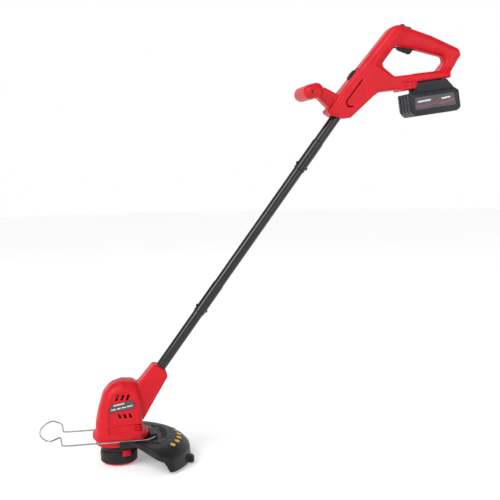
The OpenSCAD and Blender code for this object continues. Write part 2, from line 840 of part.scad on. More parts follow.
module battery_case_upper() {
    color(black) on_rail() difference() {
        union() {
            intersection() {
                pack_body();
                box(-far, far, -far, far, pack_split, 10);
            }
            // Raised top that takes the handle's rail
            plate([[-11, pack_top - 1], [-11, -0.5], [54, -0.5], [69, pack_top - 1]], -22, 22);
            box(-20, -10, -22, 22, pack_top - 1, -13);
        }
        box(-far, 48, -14 - gap, 14 + gap, -9 - gap, -4.5 + gap);
        box(-far, 48, -10 - gap, 10 + gap, -5, 10);
        box(-far, 48, -10 - gap, 10 + gap, -12, 10);
        for (y = [-7, 0, 7]) box(-far, 20, y - 1.6, y + 1.6, -16, -8);
        // Room for the release button at the rear
        box(54.6, 75, -12 - gap, 12 + gap, -19.4, 0);
        // Grip ribs at the front
        for (y = [-24:12:24]) box(pack_front - 1, pack_front + 1.2, y - 3, y + 3, -40, pack_top - 5);
        label_pockets();
    }
}

module battery_case_lower() {
    color(black) on_rail() difference() {
        intersection() {
            pack_body();
            box(-far, far, -far, far, pack_base - 1, pack_split);
        }
        label_pockets();
    }
}

module battery_labels() {
    color("slategray") on_rail() for (side = [-1, 1]) translate([0, side * (half_pack - 0.4), 0])
        plate(label_outline, -0.4, 0.4);
}

module battery_cells() {
    pitch = cell_d + 0.2;
    color("royalblue") on_rail() for (i = [-2:2]) for (row = [0, 1])
        rod(20 + i * pitch, pack_base + 2.8 + cell_d / 2 + row * pitch, cell_d / 2, -32.5, 32.5);
}

module battery_board() {
    color("darkgreen") on_rail() box(-24, 60, -20, 20, -24.4, -23);
}

module battery_contacts() {
    color("gold") on_rail() for (y = [-7, 0, 7]) {
        for (side = [-1, 1]) translate([0, y + side * 1.15, 0]) box(-6, 8, -0.25, 0.25, -15.6, -9.6);
        box(-6, 8, y - 1.4, y + 1.4, -16, -15.5);
    }
}

module battery_release_button() {
    color(red) on_rail() {
        plate([[57.5, -4.7], [60, -8], [66.4, -16.5], [57.5, -16.5]], -12, 12);
    }
}

module battery_release_spring() {
    color(steel) on_rail() for (y = [-6, 6]) plate([[54.8, -16.4], [55.4, -16.4], [57.3, -12.6], [55.4, -8.8],
        [54.8, -8.8], [56.6, -12.6]], y - 2, y + 2);
}

handle_shell_left();
handle_shell_right();
handle_screws();
front_grip_screw();
trigger();
trigger_pin();
trigger_spring();
lock_off_button();
lock_off_spring();
switch_module();
control_board();
speed_selector();
terminal_block();
terminal_blades();
upper_tube();
middle_tube();
lower_tube();
upper_spring_clip();
lower_spring_clip();
upper_snap_front();
upper_snap_rear();
lower_snap_front();
lower_snap_rear();
power_cable();
head_shell_left();
head_shell_right();
head_screws();
nameplate();
motor_can();
motor_magnets();
motor_end_cap();
motor_brushes();
motor_bearings();
motor_shaft();
motor_rotor();
commutator();
cooling_fan();
spool_housing();
spool_cap();
spool_spring();
line_eyelets();
release_tab_left();
release_tab_right();
line_spool();
wound_line();
cutting_guard();
guard_screws();
guard_dots();
line_cutter_blade();
wire_guard();
battery_case_upper();
battery_case_lower();
battery_cells();
battery_board();
battery_contacts();
battery_labels();
battery_release_spring();
battery_release_button();
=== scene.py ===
import math

import bmesh
import bpy
import numpy as np
from mathutils import Matrix, Vector


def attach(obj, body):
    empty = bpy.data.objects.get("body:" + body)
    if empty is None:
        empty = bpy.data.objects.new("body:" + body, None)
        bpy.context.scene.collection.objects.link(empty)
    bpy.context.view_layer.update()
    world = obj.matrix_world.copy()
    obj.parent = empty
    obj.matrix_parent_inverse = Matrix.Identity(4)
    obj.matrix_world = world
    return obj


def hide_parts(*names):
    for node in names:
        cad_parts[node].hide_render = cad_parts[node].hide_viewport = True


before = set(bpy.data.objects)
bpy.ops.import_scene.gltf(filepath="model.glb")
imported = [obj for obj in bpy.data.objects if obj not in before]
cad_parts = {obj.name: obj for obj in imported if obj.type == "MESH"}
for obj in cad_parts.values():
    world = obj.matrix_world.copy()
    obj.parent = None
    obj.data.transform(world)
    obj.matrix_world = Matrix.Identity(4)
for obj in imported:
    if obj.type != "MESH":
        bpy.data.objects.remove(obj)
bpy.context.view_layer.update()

MM = 0.001
POLE_ANGLE = math.radians(53.1)
POLE_FOOT = -50.5
RAIL_TILT = math.radians(7.5)
RAIL_AT = (605, 717)
TUBE_R = 10
TUBE_FIT = 0.12     # room round the tube in the shells
SEAM = 0.12         # half the gap between two shells
WALL = 2.6
# Distances along the pole: where the tubes start, meet and end, and how far a widened end overlaps
POLE_SEAT, LOWER_JOINT, UPPER_JOINT, TUBE_END = 160, 352, 689, 888
SLEEVE = 68
SCREW_R, SCREW_HEAD_R, SCREW_BOSS_R = 1.5, 3.1, 4.4


# ---- distance fields: negative inside, in millimetres ----


def rounded(corners, steps=5):
    """A closed outline through (x, z, radius) corners, with each corner rounded."""
    points = []
    for i, (bx, bz, radius) in enumerate(corners):
        b = np.array([bx, bz], float)
        a, c = (np.array(corners[k % len(corners)][:2], float) for k in (i - 1, i + 1))
        if radius == 0:
            points.append(tuple(b))
            continue
        u, v = (a - b) / np.linalg.norm(a - b), (c - b) / np.linalg.norm(c - b)
        half = math.acos(float(np.clip(u @ v, -1, 1))) / 2
        reach = radius / math.tan(half)
        middle = b + (u + v) / np.linalg.norm(u + v) * radius / math.sin(half)
        for k in range(steps + 1):
            spoke = (b + u * reach - middle) * (1 - k / steps) + (b + v * reach - middle) * k / steps
            points.append(tuple(middle + spoke / np.linalg.norm(spoke) * radius))
    return points


def outline(points):
    """The signed distance in a plane to a closed outline."""

    def distance(x, z):
        nearest, inside = np.inf, False
        for (ax, az), (bx, bz) in zip(points, points[1:] + points[:1]):
            ex, ez = bx - ax, bz - az
            t = np.clip(((x - ax) * ex + (z - az) * ez) / (ex * ex + ez * ez), 0, 1)
            nearest = np.minimum(nearest, (x - ax - t * ex) ** 2 + (z - az - t * ez) ** 2)
            if ez:
                inside = inside ^ (((az > z) != (bz > z)) & (x < ax + (z - az) * ex / ez))
        return np.where(inside, -1, 1) * np.sqrt(nearest)

    return distance


def path(points):
    """The distance in a plane to an open path."""

    def distance(x, z):
        nearest = np.inf
        for (ax, az), (bx, bz) in zip(points, points[1:]):
            ex, ez = bx - ax, bz - az
            t = np.clip(((x - ax) * ex + (z - az) * ez) / (ex * ex + ez * ez), 0, 1)
            nearest = np.minimum(nearest, np.hypot(x - ax - t * ex, z - az - t * ez))
        return nearest

    return distance


def ramp(value, low, high):
    """0 below low, 1 above high and smooth between."""
    t = np.clip((value - low) / (high - low), 0, 1)
    return t * t * (3 - 2 * t)


def slab(flat, across, half, edge):
    """A flat shape given half a width each way, with its edges rounded."""
    side = np.abs(across) - half + edge
    flat = flat + edge
    corner = np.hypot(np.maximum(flat, 0), np.maximum(side, 0))
    return np.minimum(np.maximum(flat, side), 0) + corner - edge


def span(value, low, high, radial, edge):
    """A radial distance kept between two levels, with rounded edges."""
    return slab(radial, value - (low + high) / 2, (high - low) / 2, edge)


def join(a, b, k=0.01):
    h = np.clip(0.5 + 0.5 * (b - a) / k, 0, 1)
    return b + (a - b) * h - k * h * (1 - h)


def cut(a, b, k=0.01):
    return -join(-a, b, k)


def keep(a, b, k=0.01):
    return -join(-a, -b, k)


def block(x, y, z, low, high, edge):
    q = [np.abs(v - (a + b) / 2) - (b - a) / 2 + edge for v, a, b in zip((x, y, z), low, high)]
    outside = np.sqrt(sum(np.maximum(v, 0) ** 2 for v in q))
    return np.minimum(np.maximum(np.maximum(q[0], q[1]), q[2]), 0) + outside - edge


def oval(x, y, x0, x1, radius):
    """The distance in the XY plane to two half circles joined by straight sides."""
    return np.hypot(x - np.clip(x, x0, x1), y) - radius


def pole_frame(x, z):
    """Distances along the pole from its foot and square to it, forward and up."""
    dx = x - POLE_FOOT
    c, s = math.cos(POLE_ANGLE), math.sin(POLE_ANGLE)
    return dx * c + z * s, z * c - dx * s


def turned(x, z, at, angle):
    """The place of a point in a frame at (x, z), turned up by an angle."""
    dx, dz = x - at[0], z - at[1]
    c, s = math.cos(angle), math.sin(angle)
    return dx * c + dz * s, dz * c - dx * s


# ---- meshing ----


def add_object(name, points, faces, smooth=True):
    mesh = bpy.data.meshes.new(name)
    mesh.from_pydata((np.asarray(points) * MM).tolist(), [], np.asarray(faces).tolist())
    mesh.polygons.foreach_set("use_smooth", [smooth] * len(mesh.polygons))
    mesh.update()
    obj = bpy.data.objects.new(f"{name}_piece", mesh)
    bpy.context.scene.collection.objects.link(obj)
    return obj


def moulding(name, field, low, high, step=1.0):
    """A mesh of the surface where field(x, y, z) is zero, with one point in each cell it crosses."""
    low = np.array(low, float) + 0.37 * step
    axes = [np.arange(a, b + step, step) for a, b in zip(low, high)]
    shape = tuple(len(a) for a in axes)
    values = field(axes[0][:, None, None], axes[1][None, :, None], axes[2][None, None, :])
    values = np.broadcast_to(values, shape)
    cells = np.array(shape) - 1
    total, hits, rings = np.zeros((cells.prod(), 3)), np.zeros(cells.prod()), []
    for axis, (u, v) in enumerate(((1, 2), (2, 0), (0, 1))):
        a, b = np.delete(values, -1, axis), np.delete(values, 0, axis)
        at = np.argwhere((a < 0) != (b < 0))
        at = at[(at[:, u] > 0) & (at[:, v] > 0) & (at[:, u] < cells[u]) & (at[:, v] < cells[v])]
        start, stop = a[tuple(at.T)], b[tuple(at.T)]
        point = at.astype(float)
        point[:, axis] += start / (start - stop)
        ring = []
        for du, dv in ((0, 0), (-1, 0), (-1, -1), (0, -1)):
            cell = at.copy()
            cell[:, u] += du
            cell[:, v] += dv
            index = np.ravel_multi_index(cell.T, cells)
            hits += np.bincount(index, minlength=len(hits))
            for k in range(3):
                total[:, k] += np.bincount(index, point[:, k], len(hits))
            ring.append(index)
        ring = np.stack(ring, 1)
        rings.append(np.where((start < 0)[:, None], ring, ring[:, ::-1]))
    used = np.flatnonzero(hits)
    number = np.zeros(len(hits), int)
    number[used] = np.arange(len(used))
    points = total[used] / hits[used, None] * step + low
    faces = number[np.concatenate(rings)]
    points = relaxed(settled(field, points, step), faces)
    return add_object(name, points, faces)


def settled(field, points, step):
    """The points moved onto the surface, along the field's slope."""
    reach = 0.1 * step
    slope = np.zeros_like(points)
    for k in range(3):
        offset = np.zeros(3)
        offset[k] = reach
        slope[:, k] = (field(*(points + offset).T) - field(*(points - offset).T)) / (2 * reach)
    slope /= np.maximum((slope**2).sum(1), 0.2)[:, None]
    for _ in range(2):
        points = points - np.clip(slope * field(*points.T)[:, None], -0.4 * step, 0.4 * step)
    return points


def relaxed(points, faces, rounds=2, share=0.5):
    """The points drawn towards the middle of their neighbours, to even out the mesh."""
    ring = [(faces[:, k], faces[:, (k + 1) % 4]) for k in range(4)]
    here = np.concatenate([a for a, b in ring] + [b for a, b in ring])
    there = np.concatenate([b for a, b in ring] + [a for a, b in ring])
    count = np.bincount(here, minlength=len(points))[:, None]
    for _ in range(rounds):
        total = np.stack([np.bincount(here, points[there, k], len(points)) for k in range(3)], 1)
        points = points + (total / count - points) * share
    return points


def parted(obj, field, names, at, across, gap=SEAM):
    """Two closed pieces from one, cut by a plane in millimetres, with a hair's gap between them."""
    across = Vector(across).normalized()
    made = []
    for side, name in zip((-1, 1), names):
        shape = bmesh.new()
        shape.from_mesh(obj.data)
        plane = (Vector(at) + across * gap * side) * MM
        everything = shape.verts[:] + shape.edges[:] + shape.faces[:]
        bmesh.ops.bisect_plane(shape, geom=everything, plane_co=plane, plane_no=across, dist=1e-7,
                               clear_outer=side < 0, clear_inner=side > 0)
        rim = [edge for edge in shape.edges if edge.is_boundary]
        filled = bmesh.ops.triangle_fill(shape, use_beauty=True, edges=rim, normal=-across * side)["geom"]
        filled = [face for face in filled if isinstance(face, bmesh.types.BMFace)]
        for face in filled:
            face.smooth = False
        middles = np.array([face.calc_center_median() for face in filled]) / MM
        stray = [face for face, far in zip(filled, field(*middles.T) > 0.3) if far]
        bmesh.ops.delete(shape, geom=stray, context="FACES")
        for edge in rim:
            edge.smooth = False
        mesh = bpy.data.meshes.new(name)
        shape.to_mesh(mesh)
        shape.free()
        half = bpy.data.objects.new(f"{name}_piece", mesh)
        bpy.context.scene.collection.objects.link(half)
        made.append(half)
    bpy.data.objects.remove(obj)
    return made


def lathe(name, profile, place=Matrix(), segments=96):
    """A closed (radius, height) profile turned about the Z axis of a placing matrix."""
    profile = [(max(r, 0.02), h) for r, h in profile]
    n = len(profile)
    angles = np.arange(segments) * 2 * math.pi / segments
    points = [(r * math.cos(t), r * math.sin(t), h) for t in angles for r, h in profile]
    points = np.array(points) @ np.array(place.to_3x3()).T + np.array(place.translation)
    faces = []
    for i in range(segments):
        j = (i + 1) % segments
        for k in range(n):
            m = (k + 1) % n
            faces.append((i * n + k, j * n + k, j * n + m, i * n + m))
    return add_object(name, points, faces)


def on_pole(s):
    """The placing matrix of a frame s along the pole, with its Z axis up the pole."""
    c, t = math.cos(POLE_ANGLE), math.sin(POLE_ANGLE)
    return Matrix(((t, 0, c, POLE_FOOT + s * c), (0, 1, 0, 0), (-c, 0, t, s * t), (0, 0, 0, 1)))


def joined(name, objs):
    """One object from several, keeping their materials."""
    with bpy.context.temp_override(active_object=objs[0], selected_editable_objects=objs):
        bpy.ops.object.join()
    objs[0].name = f"{name}_piece"
    return objs[0]


# ---- materials ----


def material(name, colours, rough, grain=0.0, grain_size=1.0, metal=0.0, coat=0.0, edge=0.0, bump_mm=0.02,
             specular=0.5, stretch=(1, 1, 1), blotch=25):
    """A procedural finish: colour between two shades, roughness over a range, a fine grain and worn edges."""
    mat = bpy.data.materials.new(name)
    mat.use_nodes = True
    tree = mat.node_tree
    shader = tree.nodes["Principled BSDF"]
    shader.inputs["Metallic"].default_value = metal
    shader.inputs["Coat Weight"].default_value = coat
    shader.inputs["Coat Roughness"].default_value = 0.12
    shader.inputs["Specular IOR Level"].default_value = specular
    place = tree.nodes.new("ShaderNodeTexCoord")
    scale = tree.nodes.new("ShaderNodeMapping")
    scale.inputs["Scale"].default_value = stretch
    tree.links.new(place.outputs["Object"], scale.inputs["Vector"])

    def noise(size_mm, detail):
        node = tree.nodes.new("ShaderNodeTexNoise")
        node.inputs["Scale"].default_value = 1 / (size_mm * MM)
        node.inputs["Detail"].default_value = detail
        tree.links.new(scale.outputs["Vector"], node.inputs["Vector"])
        return node.outputs["Fac"]

    shades = tree.nodes.new("ShaderNodeValToRGB")
    shades.color_ramp.elements[0].position = 0.35
    shades.color_ramp.elements[1].position = 0.65
    shades.color_ramp.elements[0].color = (*colours[0], 1)
    shades.color_ramp.elements[1].color = (*colours[1], 1)
    tree.links.new(noise(blotch, 3), shades.inputs["Fac"])
    colour = shades.outputs["Color"]
    if edge:
        worn = tree.nodes.new("ShaderNodeMix")
        worn.data_type = "RGBA"
        shape = tree.nodes.new("ShaderNodeNewGeometry")
        sharp = tree.nodes.new("ShaderNodeMapRange")
        sharp.inputs["From Min"].default_value = 0.57
        sharp.inputs["From Max"].default_value = 0.7
        sharp.inputs["To Max"].default_value = edge
        tree.links.new(shape.outputs["Pointiness"], sharp.inputs["Value"])
        tree.links.new(sharp.outputs["Result"], worn.inputs["Factor"])
        tree.links.new(colour, worn.inputs["A"])
        worn.inputs["B"].default_value = (*[min(1, c * 1.6 + 0.04) for c in colours[1]], 1)
        colour = worn.outputs["Result"]
    tree.links.new(colour, shader.inputs["Base Color"])
    dull = tree.nodes.new("ShaderNodeMapRange")
    dull.inputs["To Min"].default_value, dull.inputs["To Max"].default_value = rough
    tree.links.new(noise(blotch / 3, 4), dull.inputs["Value"])
    tree.links.new(dull.outputs["Result"], shader.inputs["Roughness"])
    if grain:
        bump = tree.nodes.new("ShaderNodeBump")
        bump.inputs["Strength"].default_value = grain
        bump.inputs["Distance"].default_value = bump_mm * MM
        tree.links.new(noise(grain_size, 2), bump.inputs["Height"])
        tree.links.new(bump.outputs["Normal"], shader.inputs["Normal"])
    return mat


RED = material("red_plastic", ((0.52, 0.006, 0.014), (0.59, 0.008, 0.018)), (0.34, 0.44), 0.22, 0.9,
               edge=0.2, specular=0.2)
BLACK = material("black_plastic", ((0.009, 0.009, 0.01), (0.014, 0.014, 0.015)), (0.38, 0.5), 0.35, 0.8,
                 edge=0.5, specular=0.22)
PAINT = material("tube_paint", ((0.004, 0.004, 0.0045), (0.007, 0.007, 0.008)), (0.18, 0.26), 0.25, 1.6,
                 coat=0.2, specular=0.4)
STEEL = material("steel", ((0.5, 0.5, 0.51), (0.62, 0.62, 0.63)), (0.22, 0.36), 0.3, 0.3,
                 metal=1.0, blotch=6)
WIRE_STEEL = material("wire_steel", ((0.36, 0.35, 0.33), (0.5, 0.49, 0.47)), (0.2, 0.32), 0.2, 0.4,
                      metal=1.0, blotch=8)
SCREW = material("screw_steel", ((0.1, 0.1, 0.105), (0.16, 0.16, 0.165)), (0.35, 0.5), 0.3, 0.3,
                 metal=1.0, blotch=6)
COPPER = material("copper", ((0.62, 0.27, 0.12), (0.72, 0.34, 0.16)), (0.28, 0.42), 0.5, 0.5,
                  metal=1.0, blotch=5)
CONTACT = material("contact_metal", ((0.75, 0.58, 0.26), (0.85, 0.68, 0.34)), (0.2, 0.3), 0.2, 0.4, metal=1.0)
MAGNET = material("magnet", ((0.05, 0.05, 0.055), (0.08, 0.08, 0.085)), (0.55, 0.7), 0.8, 0.5, blotch=6)
CARBON = material("carbon", ((0.02, 0.02, 0.02), (0.035, 0.035, 0.035)), (0.6, 0.75), 0.8, 0.3, blotch=3)
BOARD = material("board", ((0.01, 0.11, 0.04), (0.015, 0.16, 0.06)), (0.3, 0.45), 0.6, 1.2, blotch=3)
RUBBER = material("cable_rubber", ((0.015, 0.015, 0.016), (0.028, 0.028, 0.03)), (0.55, 0.7), 0.6, 0.5)
PACK = material("pack_plastic", ((0.014, 0.016, 0.02), (0.021, 0.024, 0.03)), (0.42, 0.55), 0.9, 0.8,
                edge=0.6, specular=0.28)
LABEL = material("label", ((0.045, 0.04, 0.048), (0.055, 0.05, 0.06)), (0.3, 0.4), 0.2, 2.0)
PLATE = material("nameplate", ((0.05, 0.05, 0.055), (0.065, 0.065, 0.07)), (0.3, 0.4), 0.2, 1.0)
PALE_INK = material("pale_ink", ((0.5, 0.5, 0.5), (0.62, 0.62, 0.62)), (0.4, 0.5), 0.2, 0.5, blotch=3)
RED_INK = material("red_ink", ((0.55, 0.02, 0.03), (0.65, 0.03, 0.04)), (0.4, 0.5), 0.2, 0.5, blotch=3)
YELLOW = material("yellow_film", ((0.62, 0.36, 0.02), (0.74, 0.46, 0.03)), (0.4, 0.5), 0.4, 0.5, blotch=2)
NYLON = material("line_nylon", ((0.75, 0.22, 0.02), (0.85, 0.3, 0.03)), (0.25, 0.4), 1.0, 1.2,
                 stretch=(1, 1, 3))
CELL = material("cell_wrap", ((0.02, 0.07, 0.3), (0.03, 0.1, 0.4)), (0.25, 0.35), 0.2, 1.0)

CAD_FINISH = {
    "handle_screws": SCREW, "front_grip_screw": SCREW, "trigger_pin": STEEL, "trigger_spring": STEEL,
    "lock_off_spring": STEEL, "switch_module": BLACK, "control_board": BOARD, "terminal_block": BLACK,
    "terminal_blades": CONTACT, "upper_spring_clip": STEEL, "lower_spring_clip": STEEL, "power_cable": RUBBER,
    "head_screws": SCREW, "motor_can": STEEL, "motor_magnets": MAGNET, "motor_end_cap": BLACK,
    "motor_brushes": CARBON, "motor_bearings": STEEL, "motor_shaft": STEEL, "motor_rotor": COPPER,
    "commutator": COPPER, "cooling_fan": BLACK, "spool_spring": STEEL, "line_eyelets": STEEL,
    "guard_screws": SCREW, "line_cutter_blade": STEEL, "battery_cells": CELL,
    "battery_board": BOARD, "battery_contacts": CONTACT, "battery_release_spring": STEEL,
}


def finish(obj, mat, body, *nodes):
    """Gives a piece its material and its body, and hides the CAD nodes it stands for."""
    obj.data.materials.clear()
    obj.data.materials.append(mat)
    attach(obj, body)
    if nodes:
        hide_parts(*nodes)
    return obj


# ---- handle ----

HANDLE = outline(rounded([
    (418, 659, 2), (428, 653, 3), (447, 648.5, 3), (463, 649, 6), (508, 689, 16), (521, 698.5, 10),
    (574, 704, 6), (598, 705.5, 1), (599, 717, 1), (667, 726, 1.5), (667.5, 735, 2), (695, 770, 7),
    (690, 783, 9),
    (631, 808, 60), (555.5, 832, 31), (481, 743, 40), (446, 701, 8), (424, 670, 2), (417, 664, 2)]))
OPENING = outline(rounded([
    (555, 786, 3), (530, 753, 5), (531, 746, 5), (553, 728, 5), (645, 738, 6), (659, 757, 6),
    (655, 767, 6), (596, 781, 20)]))
CHEEK = outline([(400, 630), (475, 630), (521, 690), (672, 690), (672, 733), (601, 732), (548, 724),
                 (511, 748), (526, 771), (549, 790), (566, 822), (545, 845), (400, 720)])
BAR = outline(rounded([(590, 716, 1), (669, 726, 1.2), (668.5, 735, 2), (655, 740, 3), (590, 733, 2)]))
GROOVE = path([(486, 721), (454, 680), (457, 670.5), (467, 670.5)])
GRIP_ARM = outline(rounded([(396, 694, 2), (412, 709, 3), (443, 693, 3), (458, 690, 3), (440, 664, 3),
                            (423, 668, 2)]))
BROW = outline(rounded([(-42, -12, 3), (-11.5, -11.8, 2), (-11.5, 3, 2), (-40, 4, 3)]))
GRIP_AT, GRIP_TURN = (385, 699), math.radians(14)
HANDLE_SCREWS = ((468, 663), (495, 748), (526, 736), (560, 706.5), (652, 783), (682, 772), (661, 738))
GRIP_SCREW = (380, 697)
SELECTOR_AT, SELECTOR_TURN = (472, 731.7), math.radians(51.5)
LOCK_AT, LOCK_TURN = (582, 824.6), math.radians(-13)


def screw_hole(x, y, z, at):
    """A shell screw's shaft, and the well for its head on the far side."""
    away = np.hypot(x - at[0], z - at[1])
    return np.minimum(np.maximum(away - SCREW_HEAD_R, 8 - y), np.maximum(away - SCREW_R, np.abs(y) - 9))


def handle_width(x, z):
    """Half the width of the handle: wide over the body, then sloping in to the grip and the opening."""
    slope, step = 0.5 * np.clip(CHEEK(x, z), 0, 13), 6.5 * ramp(CHEEK(x, z), -3, 24)
    return 23.5 - slope + (slope - step) * ramp(z, 772, 800)


def handle_field(x, y, z):
    """Both handle shells, with the front grip, the battery rail and the slots of the controls."""
    front = (z - 814) * 0.70 - (x - 565) * 0.714
    soft = 4.5 + (2 + 8 * ramp(z, 690, 775)) * ramp(front, -16, -2)
    grip = ramp(z, 744, 766) * ramp(x, 556, 578)
    edge = soft + (13 - soft) * grip
    flat = HANDLE(x, z)
    body = slab(np.maximum(flat, -OPENING(x, z)), y, handle_width(x, z), edge)
    body = join(body, slab(BAR(x, z), y, 19.5, 2), 1.5)
    u, v = turned(x, z, RAIL_AT, RAIL_TILT)
    brow = slab(BROW(u, v), y, 27, 2.5)
    ribs = np.minimum(np.abs(u + 34), np.abs(u + 19.5)) - 0.8
    brow = cut(brow, np.maximum(ribs, 26 - np.abs(y)), 0.6)
    body = join(body, brow, 2)
    arm = slab(GRIP_ARM(x, z), y, 14, 3)
    p, q = turned(x, z, GRIP_AT, GRIP_TURN)
    bar = block(p, y, q, (-20, -48, -14), (20, 48, 14), 13.8)
    body = join(join(arm, bar, 6), body, 3)
    # Marks on the outside: the groove, the screw wells and the slots of the controls
    body = cut(body, np.maximum(GROOVE(x, z) - 1.0, handle_width(x, z) - 1.8 - np.abs(y)), 0.5)
    s, n = pole_frame(x, z)
    pole = np.maximum(np.hypot(n, y) - TUBE_R - TUBE_FIT, s - TUBE_END)
    solid = np.maximum(np.hypot(n, y) - TUBE_R - 3.5, s - 892)
    bosses = np.inf
    for at in HANDLE_SCREWS:
        bosses = np.minimum(bosses, np.hypot(x - at[0], z - at[1]) - SCREW_BOSS_R)
    inner = np.maximum(slab(np.maximum(flat, -OPENING(x, z)), y, handle_width(x, z), edge) + WALL, -solid)
    inner = np.maximum(inner, -bosses)
    p, q = turned(x, z, SELECTOR_AT, SELECTOR_TURN)
    inner = np.maximum(inner, -np.maximum(np.abs(p) - 15, np.abs(y) - 12))
    shell = np.maximum(body, -inner)
    shell = np.maximum(shell, -pole)
    shell = np.maximum(shell, -block(p, y, q, (-11.7, -8, -2.6), (18, 8, 30), 0.5))
    p, q = turned(x, z, LOCK_AT, LOCK_TURN)
    shell = np.maximum(shell, -block(p, y, q, (-11.6, -5.4, -13), (11.6, 5.4, 30), 0.5))
    shell = np.maximum(shell, -block(x, y, z, (555.6, -6.4, 765), (600, 6.4, 797), 0.5))
    for at in HANDLE_SCREWS:
        shell = np.maximum(shell, -screw_hole(x, y, z, at))
    well = np.maximum(np.hypot(x - GRIP_SCREW[0], z - GRIP_SCREW[1]) - 3.4, y + 40)
    shell = np.maximum(shell, -well)
    rail = np.maximum(np.abs(u - 18.5) - 27.5, np.minimum(
        block(u, y, v, (-9, -10, -5), (46, 10, 3), 0.3), block(u, y, v, (-9, -14, -9), (46, 14, -4.5), 0.3)))
    rail = np.maximum(rail, -block(u, y, v, (-7, -10, -20), (7, 10, 2), 0.2))
    return np.minimum(shell, rail)


def make_handle():
    whole = moulding("handle", handle_field, (360, -52, 640), (702, 52, 832), 1.1)
    names = ("handle_shell_left", "handle_shell_right")
    for obj, name in zip(parted(whole, handle_field, names, (0, 0, 0), (0, 1, 0)), names):
        finish(obj, RED, "root", name)


def make_trigger():
    blade = outline(rounded([
        (559.5, 788, 1), (566, 779.5, 6), (581, 774.5, 8), (589, 771.5, 3), (594.5, 778, 4),
        (597.5, 788, 2), (588, 792.5, 2), (563, 793.5, 3)]))

    def field(x, y, z):
        d = slab(blade(x, z), y, 6, 2.6)
        grooves = np.minimum(np.minimum(np.abs(x - 571), np.abs(x - 576)), np.abs(x - 581)) - 0.6
        lower = np.maximum(grooves, z - 780.5 + 0.35 * (x - 576))
        return cut(d, np.maximum(np.maximum(lower, np.abs(y) - 4), -blade(x, z) - 0.9), 0.4)

    finish(moulding("trigger", field, (556, -8, 768), (600, 8, 797), 0.6), BLACK, "trigger", "trigger")


def make_lock_off():
    def field(x, y, z):
        p, q = turned(x, z, LOCK_AT, LOCK_TURN)
        strip = block(p, y, q, (-11, -5, -4), (11, 5, 1), 0.9)
        nub = np.maximum(np.hypot(np.hypot(p + 6.5, y), q + 4.6) - 8.8, np.hypot(p + 6.5, y) - 5)
        ridges = np.maximum(np.abs(((p - 1) % 3) - 1.5) - 0.5, np.abs(p - 5) - 4.5)
        strip = join(strip, np.maximum(np.maximum(ridges, np.abs(y) - 3.6), np.abs(q - 1) - 0.5), 0.3)
        return join(strip, np.maximum(nub, -q - 1), 0.6)

    obj = moulding("lock_off_button", field, (568, -7, 814), (597, 7, 834), 0.6)
    finish(obj, BLACK, "lock_off", "lock_off_button")


def make_selector():
    def field(x, y, z):
        p, q = turned(x, z, SELECTOR_AT, SELECTOR_TURN)
        base = block(p, y, q, (-10.5, -7.5, -2.2), (10.5, 7.5, 3.4), 1.4)
        crown = np.maximum(block(p, y, q, (-9, -6.8, 0), (9, 6.8, 6), 2), q - 5.2 + 0.12 * np.abs(p))
        body = join(base, crown, 0.8)
        slots = np.maximum(np.abs((p % 3.6) - 1.8) - 0.7, np.abs(p) - 7)
        return cut(body, np.maximum(slots, 3.8 - q), 0.5)

    obj = moulding("speed_selector", field, (458, -9, 718), (487, 9, 748), 0.6)
    finish(obj, BLACK, "selector", "speed_selector")


# ---- pole ----

def plain_tube(length, r=TUBE_R, wall=1):
    lip = 0.35
    return rounded([(r, 0, lip), (r, length, lip), (r - wall, length, lip), (r - wall, 0, lip)], 3)


def sleeved(length):
    """A tube whose lower end is widened to take the next tube, with a rolled rim and a soft shoulder."""
    out = TUBE_R + 0.9
    return rounded([
        (TUBE_R, 0, 0.2), (out + 0.35, 0, 0.3), (out + 0.35, 2.4, 0.3), (out, 3, 0.3), (out, SLEEVE - 3, 3),
        (TUBE_R, SLEEVE, 3), (TUBE_R, length, 0.35), (TUBE_R - 1, length, 0.35),
        (TUBE_R - 1, SLEEVE - 4, 0.3),
        (TUBE_R, SLEEVE - 4.4, 0.1)], 3)


def make_pole():
    lower = lathe("lower_tube", plain_tube(LOWER_JOINT + SLEEVE - 4 - POLE_SEAT), on_pole(POLE_SEAT))
    middle = lathe("middle_tube", sleeved(UPPER_JOINT + SLEEVE - 4 - LOWER_JOINT), on_pole(LOWER_JOINT))
    upper = lathe("upper_tube", sleeved(TUBE_END - UPPER_JOINT), on_pole(UPPER_JOINT))
    for tube, node in ((lower, "lower_tube"), (middle, "middle_tube"), (upper, "upper_tube")):
        finish(tube, PAINT, "root", node)
    for joint, word in ((LOWER_JOINT, "lower"), (UPPER_JOINT, "upper")):
        for side, place in ((-1, "front"), (1, "rear")):
            out = TUBE_R + 2.9
            button = [(0, 7.8), (3, 7.8), (3, out - 1.2), (2.8, out - 0.5), (2.2, out - 0.1), (1.2, out),
                      (0, out)]
            turn = on_pole(joint + 10) @ Matrix.Rotation(math.radians(90 * side), 4, "Y")
            obj = lathe(f"{word}_snap_{place}", button, turn, 32)
            finish(obj, BLACK, f"snap_{word}_{place}", f"{word}_snap_{place}")


# ---- head ----

